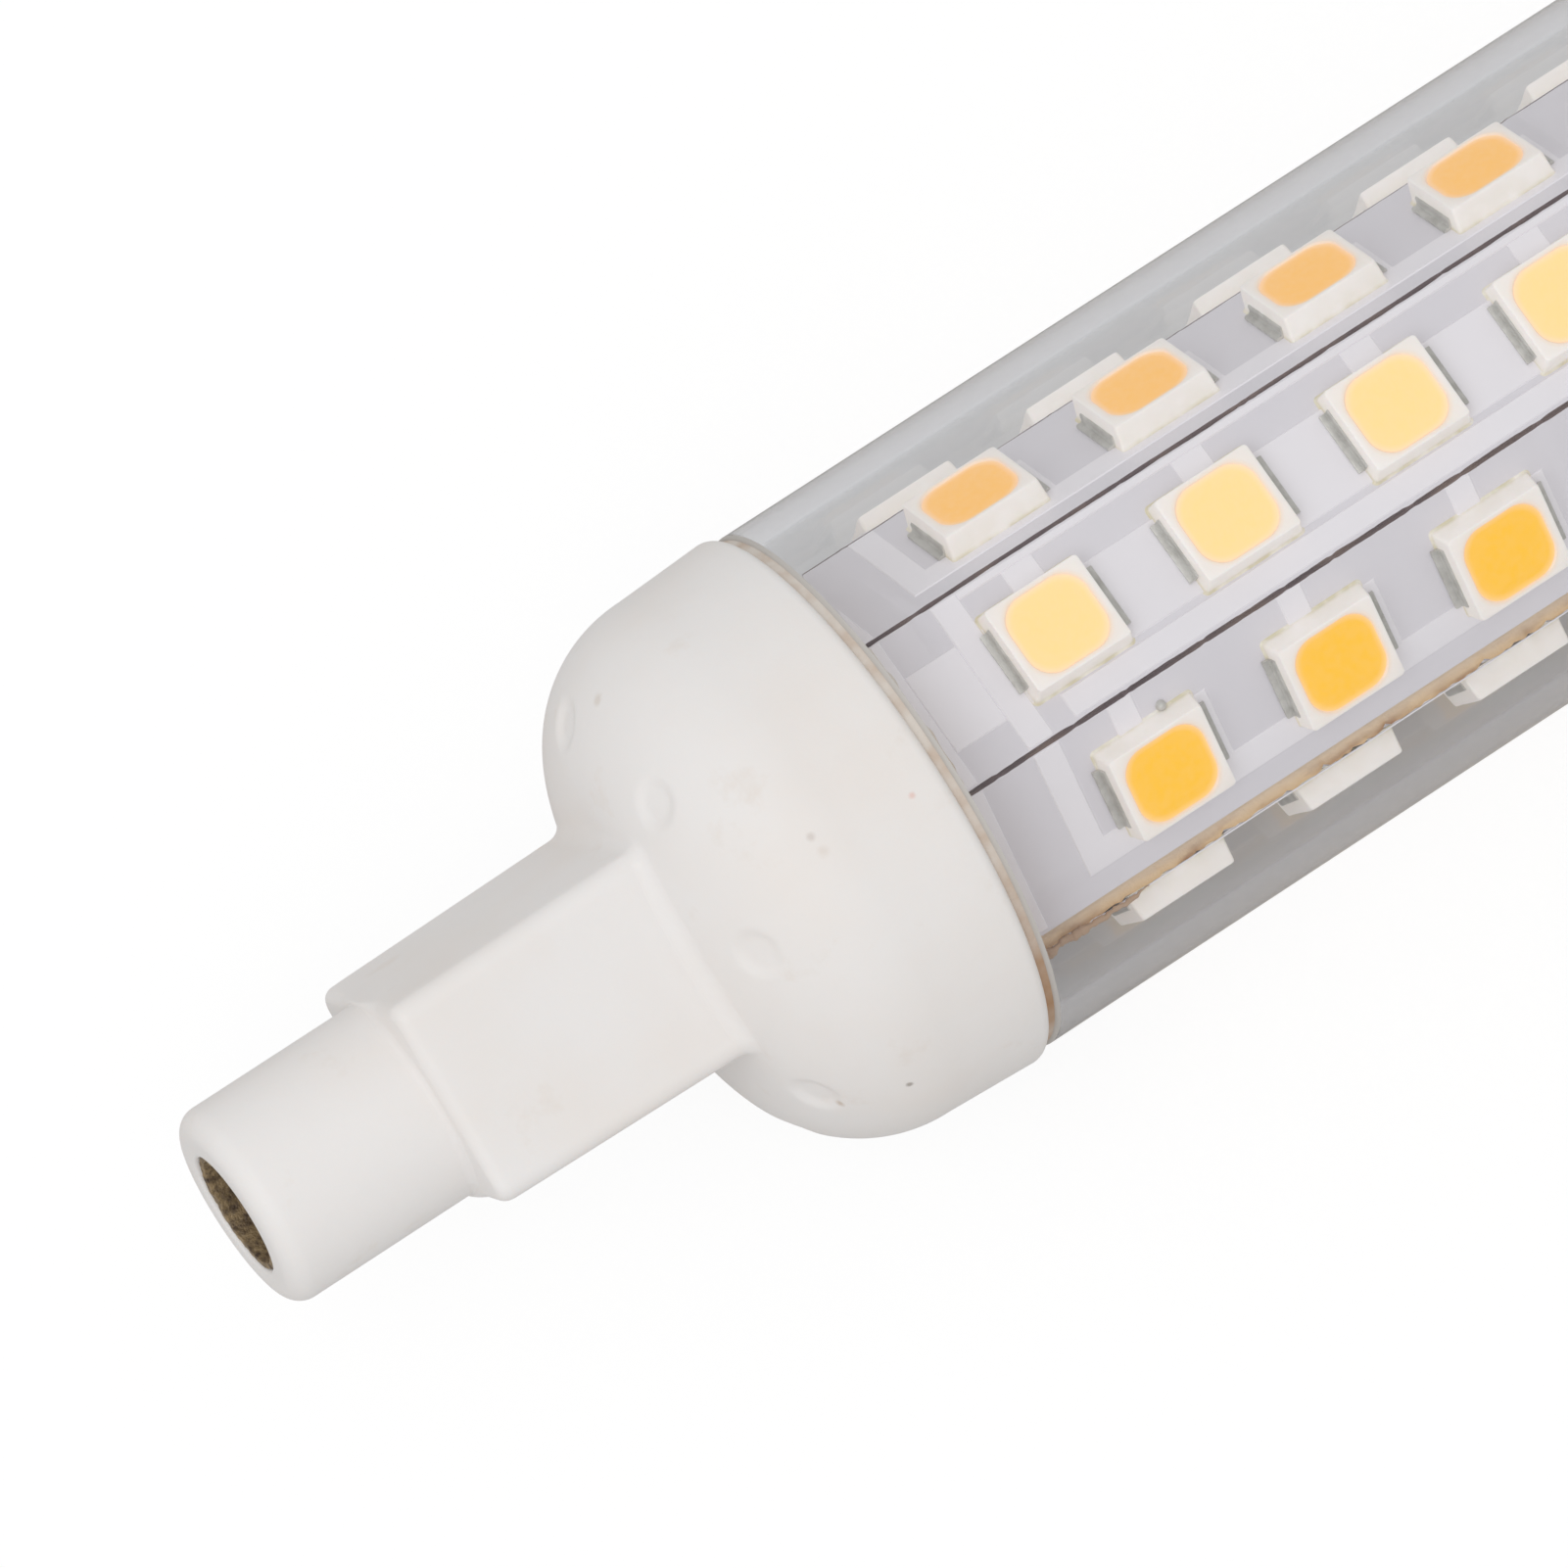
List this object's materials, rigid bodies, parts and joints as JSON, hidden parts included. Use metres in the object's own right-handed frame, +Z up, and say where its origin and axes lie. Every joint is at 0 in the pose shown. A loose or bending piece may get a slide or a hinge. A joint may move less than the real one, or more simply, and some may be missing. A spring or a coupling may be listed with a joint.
{
  "type": "double-ended led corn bulb",
  "caption": "Linear LED lamp: a clear glass sleeve round a folded board of LEDs on all sides, between two white ceramic end caps with recessed contacts.",
  "frame": {"origin": "middle of the lamp on its long axis, the centre of the whole lamp", "axes": "+X along the lamp to the right-hand nose; +Z up, through the strip of LEDs on top; +Y to the back. The open seam of the folded board looks down and towards -Y."},
  "size_m": [0.118, 0.018, 0.018],
  "materials": {
    "clear_glass": "clear polished",
    "ceramic": "unglazed satin white",
    "contact_metal": "dull tarnished",
    "cement": "dry matt cement",
    "board_white": "white solder mask, satin",
    "led_white": "white moulded resin",
    "phosphor": "yellow silicone, slightly glossy",
    "tinned_metal": "dull tinned",
    "driver_board": "glass-fibre laminate",
    "resistor_body": "lacquered",
    "black_mould": "black moulded resin",
    "capacitor_sleeve": "shrunk sleeve",
    "ferrite": "dark sintered ferrite",
    "copper_wire": "enamelled copper"
  },
  "bodies": {
    "root": {"glass_tube": "clear_glass", "left_end_cap": "ceramic", "right_end_cap": "ceramic", "left_contact_cup": "contact_metal", "right_contact_cup": "contact_metal", "left_adhesive_ring": "cement", "right_adhesive_ring": "cement", "led_board": "board_white", "led_housings_strip_1": "led_white", "led_windows_strip_1": "phosphor", "led_leads_strip_1": "tinned_metal", "led_housings_strip_2": "led_white", "led_windows_strip_2": "phosphor", "led_leads_strip_2": "tinned_metal", "led_housings_strip_3": "led_white", "led_windows_strip_3": "phosphor", "led_leads_strip_3": "tinned_metal", "led_housings_strip_4": "led_white", "led_windows_strip_4": "phosphor", "led_leads_strip_4": "tinned_metal", "led_housings_strip_5": "led_white", "led_windows_strip_5": "phosphor", "led_leads_strip_5": "tinned_metal", "led_housings_strip_6": "led_white", "led_windows_strip_6": "phosphor", "led_leads_strip_6": "tinned_metal", "led_housings_strip_7": "led_white", "led_windows_strip_7": "phosphor", "led_leads_strip_7": "tinned_metal", "led_housings_strip_8": "led_white", "led_windows_strip_8": "phosphor", "led_leads_strip_8": "tinned_metal", "driver_board": "driver_board", "fuse_resistor": "resistor_body", "bridge_rectifier": "black_mould", "smoothing_capacitor": "capacitor_sleeve", "driver_chip": "black_mould", "choke_core": "ferrite", "choke_winding": "copper_wire", "left_lead_wire": "tinned_metal", "right_lead_wire": "tinned_metal", "led_feed_wires": "copper_wire"}
  },
  "joints": []
}
